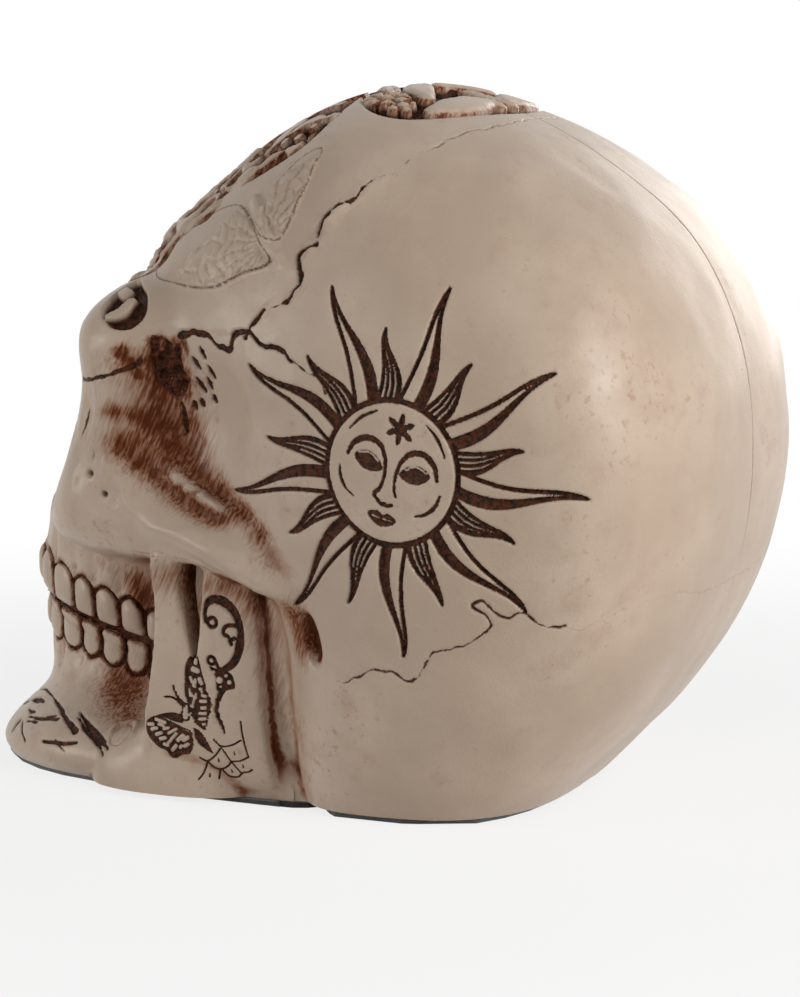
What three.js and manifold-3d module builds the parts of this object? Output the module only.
// Decorative skull: a hollow cast braincase and face in two halves that meet on a seam,
// a solid cast jaw glued under them, a rubber stopper in the casting hole and a felt base.
// Millimetres, +Z up, the face towards -Y, the skull's own left side at +X.
import * as THREE from "three";
import { mergeVertices } from "three/addons/utils/BufferGeometryUtils.js";
import Module from "manifold-3d";

const wasm = await Module();
wasm.setup();

// Fits
const seamGap = 0.3; // glue line between the two halves
const jawGap = 0.3; // glue line round the jaw
const feltGlue = 0.1;
const stopperClearance = 0.3;
const overrun = 2; // how far a cutting tool runs past what it cuts

// Head frame: its origin is the middle of the braincase, and it leans back on its base
const headTilt = 22; // degrees
const headBack = 14;
const headHeight = 76;

// Braincase
const vaultLength = 144;
const vaultHeight = 150;
const vaultHalfWidth = 60.5;
const widestBack = 19; // the widest place, behind and above the braincase middle
const widestUp = 16;
// Side profile from the forehead over the crown, as shares of length and height
const vaultProfileShares = [
  [-0.49, 0.068],
  [-0.428, 0.194],
  [-0.366, 0.295],
  [-0.254, 0.391],
  [-0.078, 0.422],
  [0.075, 0.407],
  [0.219, 0.362],
  [0.332, 0.268],
  [0.409, 0.143],
  [0.449, 0.023],
  [0.46, -0.111],
  [0.44, -0.225],
  [0.404, -0.325],
  [0.354, -0.434],
  [0.27, -0.53],
  [0.1, -0.6],
  [0.014, -0.5],
  [-0.05, -0.395],
  [-0.146, -0.302],
  [-0.26, -0.24],
  [-0.375, -0.16],
  [-0.458, -0.06],
];
// Roundness of the cross-sections round the profile, 2 is an ellipse and more is squarer
const vaultRoundness = [
  [-180, 2.45],
  [-120, 2.7],
  [-60, 3],
  [0, 3.1],
  [60, 2.9],
  [90, 2.75],
  [140, 2.5],
  [180, 2.45],
];

// Brow, eye sockets and cheeks, in the head frame
const browHalfWidth = 49.5;
const browReach = 75.3; // from the braincase middle forward
const browDrop = 4; // below the braincase middle
const faceHeight = 60;
const faceDepth = 56;
const facePower = 4;
// Rows run up the face: height share, width share, reach share, share of the depth left out
const faceShares = [
  [-0.8, 0.68, 0.885, 0.5],
  [-0.74, 0.8, 0.888, 0.42],
  [-0.64, 0.91, 0.888, 0.2],
  [-0.5, 0.94, 0.895, 0],
  [-0.35, 0.945, 0.905, 0],
  [-0.22, 0.955, 0.93, 0],
  [-0.12, 0.98, 0.968, 0],
  [-0.03, 1, 0.978, 0],
  [0.05, 0.985, 0.955, 0],
  [0.13, 0.95, 0.91, 0],
  [0.21, 0.9, 0.85, 0],
  [0.29, 0.84, 0.78, 0],
];
const socketHalfWidth = 16;
const socketHalfHeight = 14.5;
const socketDepth = 30;
const socketSpacing = 45; // between the two centres
const socketDrop = 23;
const socketReach = 74;
const socketPower = 2.6;
const socketYaw = 17; // degrees, outwards
const socketRoll = 9; // degrees, outer corner down
const fossaHalfWidth = 30;
const fossaHalfDepth = 32;
const fossaHalfHeight = 29;
const fossaAcross = 74;
const fossaForward = 43;
const fossaDrop = 14;

// Nose
const noseHalfWidth = 10.5;
const noseHeight = 27;
const noseDepth = 24;
const noseTop = 31; // below the braincase middle
const noseReach = 86;
const bridgeHalfWidth = 6;
const bridgeHalfDepth = 7.5;
const bridgeHalfHeight = 15;
const bridgeReach = 68.5;
const bridgeDrop = 22;
const bridgeLean = 14; // degrees, forward at its lower end

// Cheek arch, from the cheek to the ear, in the standing frame
const archLength = 58;
const archFront = 56; // forward of the origin
const archBase = 44; // underside at the ear
const archTall = 26;
const archSpan = 54.5; // from the middle to its outside
const archHalfThickness = 5;
// Stations: run share, underside share, top share, span share
const archShares = [
  [0, 0.24, 1.1, 0.68],
  [0.138, 0.2, 1.08, 0.76],
  [0.276, 0.185, 1.01, 0.835],
  [0.414, 0.185, 0.95, 0.88],
  [0.552, 0.17, 0.81, 0.917],
  [0.672, 0.13, 0.655, 0.954],
  [0.81, 0.05, 0.427, 0.99],
  [0.897, 0.01, 0.22, 1],
  [1, 0, 0.1, 0.97],
];
const earHalfWidth = 6;
const earHalfDepth = 2.6;
const earHalfHeight = 6.5;
const earBack = 4;
const earDrop = 39;
const earLean = 42; // degrees

// Upper jaw, teeth and lower jaw, in the standing frame
const biteHeight = 31.8;
const biteRise = 1.6; // of the bite towards the front teeth
const rowHalfWidth = 27; // half the width of the tooth row
const rowReach = 83; // of the front teeth, forward of the origin
const rowBack = 41; // forward of the origin, where the row is widest
const rowPower = 2.3;
const lowerRowInset = 1.6;
const palateRear = 11; // forward of the origin
const gumHeight = 29; // of the upper jaw, above the bite
// Rows run up the upper jaw: height share, width share, reach share
const gumShares = [
  [-0.05, 0.86, 0.948],
  [0.28, 0.865, 0.945],
  [0.42, 0.875, 0.938],
  [0.58, 0.91, 0.92],
  [0.76, 1.0, 0.895],
  [1, 1.2, 0.84],
];
const toothWidth = 6.6; // of the first tooth beside the middle
const toothHeight = 10.4;
const toothWidthShares = [1, 0.85, 0.94, 0.97, 1.05, 0.98, 0.94, 0.86];
const toothHeightShares = [1, 0.94, 0.96, 0.92, 0.92, 0.92, 0.88, 0.73];
const lowerToothHeightShare = 0.86;
const lowerToothWidthShare = 0.955;
const toothDepth = 6.5;
const toothGap = 0.5; // width of the groove between two teeth at their widest
const toothPower = 4;
const toothTaper = 0.12;
const toothBite = 0.9; // upper and lower rows stand this far apart
const rootLength = 15;
const rootHalfWidth = 2.1;
const rootHalfDepth = 2.4;
const rootSink = 2.4; // of its middle behind the face of the crown

const ramusInset = 8; // of the branches inside the cheek arches
const ramusOuter = archSpan - ramusInset;
const jawInset = 5.5; // of the body inside the branches
const jawHalfWidth = ramusOuter - jawInset;
const jawReach = 89.4;
const jawHeight = 34;
const jawRear = 2.5; // behind the origin
const jawTopRear = 8; // forward of the origin
// Rows run up the jaw: height share, width share, reach share, rear share
const jawShares = [
  [0, 0.9, 0.99, 1],
  [0.12, 1, 1, 1],
  [0.235, 0.99, 0.975, 0.8],
  [0.35, 0.91, 0.93, 0.4],
  [0.44, 0.78, 0.892, 0.1],
  [0.545, 0.67, 0.872, 0],
  [0.7, 0.605, 0.872, 0],
  [1, 0.57, 0.878, 0],
];
const ramusThickness = 9;
const ramusFront = 38.5; // forward of the origin
const ramusWidth = 29;
const ramusHeight = 51;
const ramusRound = 2.4;
// Outline from the lower front corner: width share, height share
const ramusShares = [
  [-0.12, 0],
  [-0.08, 0.22],
  [0.03, 0.44],
  [0.065, 0.62],
  [0.07, 0.8],
  [0.05, 0.99],
  [0.32, 0.99],
  [0.335, 0.84],
  [0.375, 0.68],
  [0.44, 0.58],
  [0.475, 0.66],
  [0.5, 0.8],
  [0.56, 0.99],
  [0.82, 0.99],
  [0.93, 0.8],
  [0.97, 0.5],
  [0.98, 0.2],
  [1, 0],
];
// What rounds the branch off below: height share, width share
const ramusFootShares = [
  [0, 0.72],
  [0.08, 0.85],
  [0.22, 0.94],
  [0.4, 0.985],
  [0.7, 1],
  [1.2, 1],
];
const throatInset = 6.5; // of the solid behind the branches
const throatHalfWidth = ramusOuter - throatInset;
const throatHeight = 50;
const throatFront = 31; // forward of the origin
const creaseInset = 2.5; // of the shallow crease between the branches and the braincase
const creaseHalfWidth = ramusOuter - creaseInset;
const creaseFront = 16; // forward of the origin
const creaseRear = 10;
const creaseHeight = 47;
// What rounds the crease off below: height share, width share
const creaseFootShares = [
  [0, 0.72],
  [0.1, 0.84],
  [0.3, 0.95],
  [0.55, 1],
  [1, 1.03],
];
const jawPartingBack = 6.5; // forward of the origin, in the crease behind the jaw

// Hollow, casting hole, stopper and felt
const cavityHalfWidth = 50;
const cavityFront = 36;
const cavityRear = 58;
const cavityTop = 54;
const cavityBase = 44;
const cavityPower = 2.3;
const holeRadius = 9;
const holeBackShare = 5 / 36;
const holeBack = vaultLength * holeBackShare;
const lipRadius = 13;
const lipDepth = 3;
const stopperLength = 12;
const stopperTip = 7.6;
const feltThickness = 1.2;
const baseHeight = feltThickness + feltGlue; // underside of the casting

// How fine the surfaces are
const vaultSegments = 40;
const vaultRings = 26;
const cavitySegments = 28;
const cavityRings = 16;
const loftSegments = 32;
const lumpSegments = 18;
const lumpRings = 12;
const toothSegments = 8;
const toothRings = 6;
const rootSegments = 6;
const rootRings = 5;

const radians = THREE.MathUtils.degToRad;
const signedPower = (value, power) =>
  Math.abs(value) < Number.EPSILON * 8 ? 0 : Math.sign(value) * Math.abs(value) ** power;

// A closed geometry as a solid that can be joined and cut
function solidOf(geometry) {
  geometry.deleteAttribute("normal");
  geometry.deleteAttribute("uv");
  const merged = mergeVertices(geometry, 1e-4);
  return new wasm.Manifold(
    new wasm.Mesh({
      numProp: 3,
      vertProperties: merged.attributes.position.array,
      triVerts: new Uint32Array(merged.index.array),
    }),
  );
}

// Moves every vertex of a unit form to where place(vertex) puts it
function shaped(geometry, place) {
  const position = geometry.attributes.position;
  const vertex = new THREE.Vector3();
  for (let i = 0; i < position.count; i++) {
    place(vertex.fromBufferAttribute(position, i));
    position.setXYZ(i, vertex.x, vertex.y, vertex.z);
  }
  return geometry;
}

// A smooth function through rows of numbers, read by their first column
function smoothRows(rows) {
  const slope = (i, column) => {
    const before = rows[Math.max(i - 1, 0)];
    const after = rows[Math.min(i + 1, rows.length - 1)];
    return (after[column] - before[column]) / (after[0] - before[0]);
  };
  return (key) => {
    let i = rows.findIndex((row) => row[0] >= key);
    i = i < 0 ? rows.length - 2 : Math.max(i - 1, 0);
    const step = rows[i + 1][0] - rows[i][0];
    const t = THREE.MathUtils.clamp((key - rows[i][0]) / step, 0, 1);
    const rise = t * t * (3 - 2 * t);
    return rows[i].map(
      (value, column) =>
        value * (1 - rise) +
        rows[i + 1][column] * rise +
        step * t * (1 - t) * ((1 - t) * slope(i, column) - t * slope(i + 1, column)),
    );
  };
}

// Radius of a closed profile at an angle round the origin
function polarProfile(points) {
  const curve = new THREE.CatmullRomCurve3(
    points.map(([y, z]) => new THREE.Vector3(0, y, z)),
    true,
    "centripetal",
  );
  const polar = curve
    .getPoints(points.length * 24)
    .slice(0, -1)
    .map((p) => [Math.atan2(p.z, p.y), Math.hypot(p.y, p.z)])
    .sort((a, b) => a[0] - b[0]);
  const turn = 2 * Math.PI;
  const ring = [
    [polar.at(-1)[0] - turn, polar.at(-1)[1]],
    ...polar,
    [polar[0][0] + turn, polar[0][1]],
  ];
  return (angle) => {
    const i = ring.findIndex((row) => row[0] >= angle);
    const [a, b] = [ring[i - 1], ring[i]];
    return THREE.MathUtils.mapLinear(angle, a[0], b[0], a[1], b[1]);
  };
}

// A form whose side profile shrinks towards two poles, one on each side
function sideLoft(radiusAt, halfWidth, powerAt, segments, rings) {
  return shaped(new THREE.SphereGeometry(1, segments, rings), (v) => {
    const angle = Math.atan2(v.x, v.z);
    const power = 2 / powerAt(angle);
    const reach = Math.hypot(v.x, v.z) ** power * radiusAt(angle);
    v.set(
      signedPower(v.y, power) * halfWidth,
      reach * Math.cos(angle),
      reach * Math.sin(angle),
    );
  });
}

// A form whose level outlines change with height: section(share) gives its box and roundness
function levelLoft(section, layers, power) {
  return shaped(new THREE.CylinderGeometry(1, 1, 1, loftSegments, layers), (v) => {
    const { height, halfWidth, front, rear } = section(v.y + 0.5);
    const inward = Math.hypot(v.x, v.z);
    const angle = Math.atan2(-v.z, v.x);
    v.set(
      inward * halfWidth * signedPower(Math.cos(angle), 2 / power),
      (rear + front) / 2 + (inward * (rear - front) * signedPower(Math.sin(angle), 2 / power)) / 2,
      height,
    );
  });
}

// A rounded block: power 2 is an ellipsoid, more is squarer
function lump(half, power, segments = lumpSegments, rings = lumpRings) {
  return shaped(new THREE.SphereGeometry(1, segments, rings), (v) => {
    const sum = Math.abs(v.x) ** power + Math.abs(v.y) ** power + Math.abs(v.z) ** power;
    v.multiplyScalar(sum ** (-1 / power)).multiply(half);
  });
}

const placed = (geometry, x, y, z, turnX = 0, turnY = 0, turnZ = 0) =>
  geometry.applyMatrix4(
    new THREE.Matrix4().compose(
      new THREE.Vector3(x, y, z),
      new THREE.Quaternion().setFromEuler(
        new THREE.Euler(radians(turnX), radians(turnY), radians(turnZ)),
      ),
      new THREE.Vector3(1, 1, 1),
    ),
  );

// From the head frame to the standing frame
const headPlace = new THREE.Matrix4()
  .makeTranslation(0, headBack, headHeight)
  .multiply(new THREE.Matrix4().makeRotationX(-radians(headTilt)));
const inHead = (geometry) => solidOf(geometry.applyMatrix4(headPlace));

// Both sides of a form that is written for the skull's left side
const bothSides = (make) => [make(1), make(-1)];

function braincase() {
  const profile = vaultProfileShares.map(([y, z]) => [
    y * vaultLength - widestBack,
    z * vaultHeight - widestUp,
  ]);
  const roundness = smoothRows(vaultRoundness);
  const loft = sideLoft(
    polarProfile(profile),
    vaultHalfWidth,
    (angle) => roundness(THREE.MathUtils.radToDeg(angle))[1],
    vaultSegments,
    vaultRings,
  );
  return inHead(placed(loft, 0, widestBack, widestUp));
}

function faceMass() {
  const rowAt = smoothRows(faceShares);
  const [low, high] = [faceShares[0][0], faceShares.at(-1)[0]];
  const section = (share) => {
    const [rise, width, reach, shallow] = rowAt(THREE.MathUtils.lerp(low, high, share));
    return {
      height: rise * faceHeight - browDrop,
      halfWidth: width * browHalfWidth,
      front: -reach * browReach,
      rear: (1 - shallow) * faceDepth - browReach,
    };
  };
  return inHead(levelLoft(section, 12, facePower));
}

const sockets = () =>
  bothSides((side) =>
    inHead(
      placed(
        lump(new THREE.Vector3(socketHalfWidth, socketDepth, socketHalfHeight), socketPower, 22, 14),
        (side * socketSpacing) / 2,
        -socketReach,
        -socketDrop,
        0,
        side * socketRoll,
        side * socketYaw,
      ),
    ),
  );

const fossae = () =>
  bothSides((side) =>
    inHead(
      placed(
        lump(new THREE.Vector3(fossaHalfWidth, fossaHalfDepth, fossaHalfHeight), 2, 24, 16),
        side * fossaAcross,
        -fossaForward,
        -fossaDrop,
      ),
    ),
  );

// The pear-shaped opening of the nose
function noseHole() {
  const outline = new THREE.Shape();
  outline.moveTo(0, 0);
  outline.bezierCurveTo(
    noseHalfWidth * 0.45, 0,
    noseHalfWidth * 0.6, -noseHeight * 0.3,
    noseHalfWidth, -noseHeight * 0.72,
  );
  outline.bezierCurveTo(
    noseHalfWidth * 1.1, -noseHeight,
    noseHalfWidth * 0.35, -noseHeight * 1.1,
    0, -noseHeight * 0.93,
  );
  outline.bezierCurveTo(
    -noseHalfWidth * 0.35, -noseHeight * 1.1,
    -noseHalfWidth * 1.1, -noseHeight,
    -noseHalfWidth, -noseHeight * 0.72,
  );
  outline.bezierCurveTo(
    -noseHalfWidth * 0.6, -noseHeight * 0.3,
    -noseHalfWidth * 0.45, 0,
    0, 0,
  );
  const prism = new THREE.ExtrudeGeometry(outline, {
    depth: noseDepth,
    bevelEnabled: false,
    curveSegments: 6,
  });
  return inHead(placed(prism, 0, noseDepth - noseReach, -noseTop, 90));
}

function noseBridge() {
  const half = new THREE.Vector3(bridgeHalfWidth, bridgeHalfDepth, bridgeHalfHeight);
  return inHead(placed(lump(half, 2), 0, -bridgeReach, -bridgeDrop, -bridgeLean));
}

// One cheek arch, a flattened bar that thins towards the ear
function cheekArch(side) {
  const middles = archShares.map(
    ([run, low, high, span]) =>
      new THREE.Vector3(
        side * (span * archSpan - archHalfThickness),
        run * archLength - archFront,
        archBase + ((low + high) / 2) * archTall,
      ),
  );
  const tall = smoothRows(archShares.map(([run, low, high]) => [run, ((high - low) / 2) * archTall]));
  const path = new THREE.CatmullRomCurve3(middles);
  const bar = shaped(new THREE.CylinderGeometry(1, 1, 1, 16, 12), (v) => {
    const along = THREE.MathUtils.clamp(v.y + 0.5, 0, 1);
    const lean = path.getTangent(along);
    const across = new THREE.Vector3(lean.y, -lean.x, 0).normalize();
    const middle = path.getPoint(along);
    const half = tall((middle.y + archFront) / archLength)[1];
    const [wide, rise] = [v.x * archHalfThickness, v.z * half];
    v.copy(middle).addScaledVector(across, wide);
    v.z += rise;
  });
  return solidOf(bar);
}

const earNotches = () =>
  bothSides((side) =>
    inHead(
      placed(
        lump(new THREE.Vector3(earHalfWidth, earHalfDepth, earHalfHeight), 2, 14, 10),
        side * archSpan,
        earBack,
        -earDrop,
        earLean,
      ),
    ),
  );

// The tooth row's outline: its place and direction at a distance along it from the middle
function toothRow(inset) {
  const count = 200;
  const [wide, deep] = [rowHalfWidth - inset, rowReach - inset - rowBack];
  const points = [];
  for (let i = 0; i <= count; i++) {
    const angle = (Math.PI / 2) * (i / count);
    points.push(
      new THREE.Vector3(
        wide * Math.sin(angle) ** (2 / rowPower),
        -rowBack - deep * Math.cos(angle) ** (2 / rowPower),
        0,
      ),
    );
  }
  const last = points.at(-1).clone();
  points.push(last.add(new THREE.Vector3(0, toothDepth * 2, 0)));
  const curve = new THREE.CatmullRomCurve3(points);
  const length = curve.getLength();
  return (distance) => {
    const share = distance / length;
    const tangent = curve.getTangentAt(share);
    return { place: curve.getPointAt(share), turn: Math.atan2(tangent.y, tangent.x) };
  };
}

const biteAt = (y) =>
  biteHeight + biteRise * THREE.MathUtils.clamp((-rowBack - y) / (rowReach - rowBack), 0, 1);

// Crowns and roots of one row: up is 1 for the upper jaw and -1 for the lower
function teeth(up) {
  const row = toothRow(up > 0 ? 0 : lowerRowInset);
  const widthShare = up > 0 ? 1 : lowerToothWidthShare;
  const heightShare = up > 0 ? 1 : lowerToothHeightShare;
  const made = [];
  let start = 0;
  toothWidthShares.forEach((share, i) => {
    const width = toothWidth * share * widthShare;
    const tall = toothHeight * toothHeightShares[i] * heightShare;
    const { place, turn } = row(start + width / 2);
    start += width;
    const half = new THREE.Vector3(width / 2 - toothGap / 2, toothDepth / 2, tall / 2);
    const inward = new THREE.Vector3(-Math.sin(turn), Math.cos(turn), 0);
    for (const side of [1, -1]) {
      const crown = shaped(lump(half, toothPower, toothSegments, toothRings), (v) => {
        v.x *= 1 - (toothTaper * up * v.z) / half.z;
      });
      const root = lump(
        new THREE.Vector3(rootHalfWidth, rootHalfDepth, rootLength / 2),
        2,
        rootSegments,
        rootRings,
      );
      const height = biteAt(place.y) + (up * (tall + toothBite)) / 2;
      const at = (depth) => place.clone().addScaledVector(inward, depth);
      const spot = at(toothDepth / 2);
      const rootSpot = at(rootSink + toothDepth / 2);
      const rootHeight = height + up * (tall / 2 + rootLength * 0.3);
      const degrees = side * THREE.MathUtils.radToDeg(turn);
      made.push(solidOf(placed(crown, side * spot.x, spot.y, height, 0, 0, degrees)));
      made.push(solidOf(placed(root, side * rootSpot.x, rootSpot.y, rootHeight, 0, 0, degrees)));
    }
  });
  return made;
}

function upperJaw() {
  const rowAt = smoothRows(gumShares);
  const [low, high] = [gumShares[0][0], gumShares.at(-1)[0]];
  const section = (share) => {
    const [rise, width, reach] = rowAt(THREE.MathUtils.lerp(low, high, share));
    return {
      height: biteHeight + rise * gumHeight,
      halfWidth: width * rowHalfWidth,
      front: -reach * rowReach,
      rear: -palateRear,
    };
  };
  return solidOf(levelLoft(section, 7, rowPower));
}

function jawBody() {
  const rowAt = smoothRows(jawShares);
  const section = (share) => {
    const [rise, width, reach, rear] = rowAt(share);
    return {
      height: rise * jawHeight,
      halfWidth: width * jawHalfWidth,
      front: -reach * jawReach,
      rear: THREE.MathUtils.lerp(-jawTopRear, jawRear, rear),
    };
  };
  return solidOf(levelLoft(section, 13, rowPower));
}

// The solid that closes the throat behind the upright branches
const throat = () =>
  solidOf(
    levelLoft(
      (share) => ({
        height: share * throatHeight,
        halfWidth: throatHalfWidth,
        front: -throatFront,
        rear: jawRear,
      }),
      1,
      facePower,
    ),
  );

function crease() {
  const footAt = smoothRows(creaseFootShares);
  const section = (share) => ({
    height: share * creaseHeight,
    halfWidth: footAt(share)[1] * creaseHalfWidth,
    front: -creaseFront,
    rear: creaseRear,
  });
  return solidOf(levelLoft(section, 8, facePower));
}

// The upright branch of the jaw, with its two horns and the notch between them
function ramus(side) {
  const outline = new THREE.Shape();
  const curve = new THREE.SplineCurve(
    ramusShares.map(
      ([y, z]) => new THREE.Vector2(y * ramusWidth - ramusFront, z * ramusHeight),
    ),
  );
  outline.setFromPoints(curve.getPoints(ramusShares.length * 2));
  outline.closePath();
  const plate = new THREE.ExtrudeGeometry(outline, {
    depth: ramusThickness - 2 * ramusRound,
    bevelThickness: ramusRound,
    bevelSize: ramusRound * 0.6,
    bevelOffset: -ramusRound * 0.6,
    bevelSegments: 2,
  });
  const footAt = smoothRows(ramusFootShares);
  const foot = levelLoft(
    (share) => {
      const [rise, width] = footAt(share * ramusFootShares.at(-1)[0]);
      return {
        height: rise * ramusHeight - 2 * ramusRound,
        halfWidth: width * ramusOuter,
        front: -ramusFront - ramusWidth,
        rear: ramusWidth,
      };
    },
    12,
    2 * facePower,
  );
  const inner = side > 0 ? ramusOuter - ramusThickness : -ramusOuter;
  plate.applyMatrix4(
    new THREE.Matrix4().makeBasis(
      new THREE.Vector3(0, 1, 0),
      new THREE.Vector3(0, 0, 1),
      new THREE.Vector3(1, 0, 0),
    ),
  );
  return solidOf(placed(plate, inner + ramusRound, 0, 0)).intersect(solidOf(foot));
}

const box = (low, high) =>
  solidOf(
    placed(
      new THREE.BoxGeometry(high.x - low.x, high.y - low.y, high.z - low.z),
      (low.x + high.x) / 2,
      (low.y + high.y) / 2,
      (low.z + high.z) / 2,
    ),
  );

const reachAll = 2 * (vaultLength + vaultHeight); // longer than the whole skull
const corner = (x, y, z) => new THREE.Vector3(x, y, z);

// Where the jaw is: under the bite, and the upright branches behind the cheek arches
function jawSpace(grow) {
  const under = shaped(
    new THREE.BoxGeometry(reachAll, rowReach + reachAll / 2, reachAll, 1, 24, 1),
    (v) => {
      v.y += -jawPartingBack + grow - (rowReach + reachAll / 2) / 2;
      v.z = v.z > 0 ? biteAt(v.y) + grow : -reachAll;
    },
  );
  const branch = (side) => {
    const [inner, outer] = [ramusOuter - ramusThickness - grow, ramusOuter + overrun / 2 + grow];
    return box(
      corner(side > 0 ? inner : -outer, -ramusFront - overrun - grow, 0),
      corner(side > 0 ? outer : -inner, -jawPartingBack + grow, ramusHeight + grow),
    );
  };
  return wasm.Manifold.union([solidOf(under), branch(1), branch(-1)]);
}

const lathe = (profile, segments) => {
  const points = profile.map(([radius, height]) => new THREE.Vector2(radius, height));
  return new THREE.LatheGeometry(points, segments).rotateX(Math.PI / 2);
};

// The casting hole with the seat for the stopper's lip, and the hollow above it
function hollow() {
  const radiusAt = (angle) => {
    const [y, z] = [Math.cos(angle), Math.sin(angle)];
    const [deep, tall] = [y < 0 ? cavityFront : cavityRear, z < 0 ? cavityBase : cavityTop];
    return (Math.abs(y / deep) ** cavityPower + Math.abs(z / tall) ** cavityPower) ** (-1 / cavityPower);
  };
  const cavity = sideLoft(radiusAt, cavityHalfWidth, () => cavityPower, cavitySegments, cavityRings);
  const hole = lathe(
    [
      [0, -overrun],
      [lipRadius, -overrun],
      [lipRadius, baseHeight + lipDepth],
      [holeRadius, baseHeight + lipDepth],
      [holeRadius, headHeight / 2],
      [0, headHeight / 2],
    ],
    32,
  );
  return inHead(cavity).add(solidOf(placed(hole, 0, holeBack, 0)));
}

function stopper() {
  const top = baseHeight + lipDepth - stopperClearance;
  const profile = [
    [0, baseHeight],
    [lipRadius - stopperClearance, baseHeight],
    [lipRadius - stopperClearance, top],
    [holeRadius - stopperClearance, top],
    [stopperTip, top + stopperLength],
    [0, top + stopperLength],
  ];
  return solidOf(placed(lathe(profile, 32), 0, holeBack, 0));
}

// Everything that is cast, in one piece and with no hollow
function castForm() {
  const grown = wasm.Manifold.union([
    braincase(),
    faceMass(),
    noseBridge(),
    cheekArch(1),
    cheekArch(-1),
    upperJaw(),
    jawBody(),
    throat(),
    crease(),
    ramus(1),
    ramus(-1),
    ...teeth(1),
    ...teeth(-1),
  ]);
  const cut = wasm.Manifold.union([...sockets(), ...fossae(), noseHole(), ...earNotches()]);
  return grown.subtract(cut);
}

const above = (height) =>
  box(corner(-reachAll, -reachAll, height), corner(reachAll, reachAll, reachAll));
const sideOf = (side) =>
  box(
    corner(side > 0 ? seamGap / 2 : -reachAll, -reachAll, -reachAll),
    corner(side > 0 ? reachAll : -seamGap / 2, reachAll, reachAll),
  );

const form = castForm();
const casting = form.intersect(above(baseHeight));
const upper = casting.subtract(jawSpace(jawGap)).subtract(hollow());
const jaw = casting.intersect(jawSpace(0));
const felt = form.intersect(
  box(corner(-reachAll, -reachAll, 0), corner(reachAll, reachAll, feltThickness)),
);

const boneFinish = { color: 0xb5a18c, roughness: 0.55, metalness: 0 };
const bone = new THREE.MeshStandardMaterial(boneFinish);
const rubber = new THREE.MeshStandardMaterial({ color: 0x2a2724, roughness: 0.8, metalness: 0 });
const baize = new THREE.MeshStandardMaterial({ color: 0x1d1b1a, roughness: 1, metalness: 0 });

function meshOf(solid, name, material) {
  const { numProp, vertProperties, triVerts } = solid.getMesh();
  const geometry = new THREE.BufferGeometry();
  geometry.setAttribute("position", new THREE.BufferAttribute(vertProperties, numProp));
  geometry.setIndex(new THREE.BufferAttribute(triVerts, 1));
  geometry.computeVertexNormals();
  const mesh = new THREE.Mesh(geometry, material);
  mesh.name = name;
  return mesh;
}

const skull = new THREE.Group();
skull.add(
  meshOf(upper.intersect(sideOf(1)), "left_half_shell", bone),
  meshOf(upper.intersect(sideOf(-1)), "right_half_shell", bone),
  meshOf(jaw, "jaw", bone),
  meshOf(stopper(), "stopper", rubber),
  meshOf(felt, "base_felt", baize),
);
export default skull;
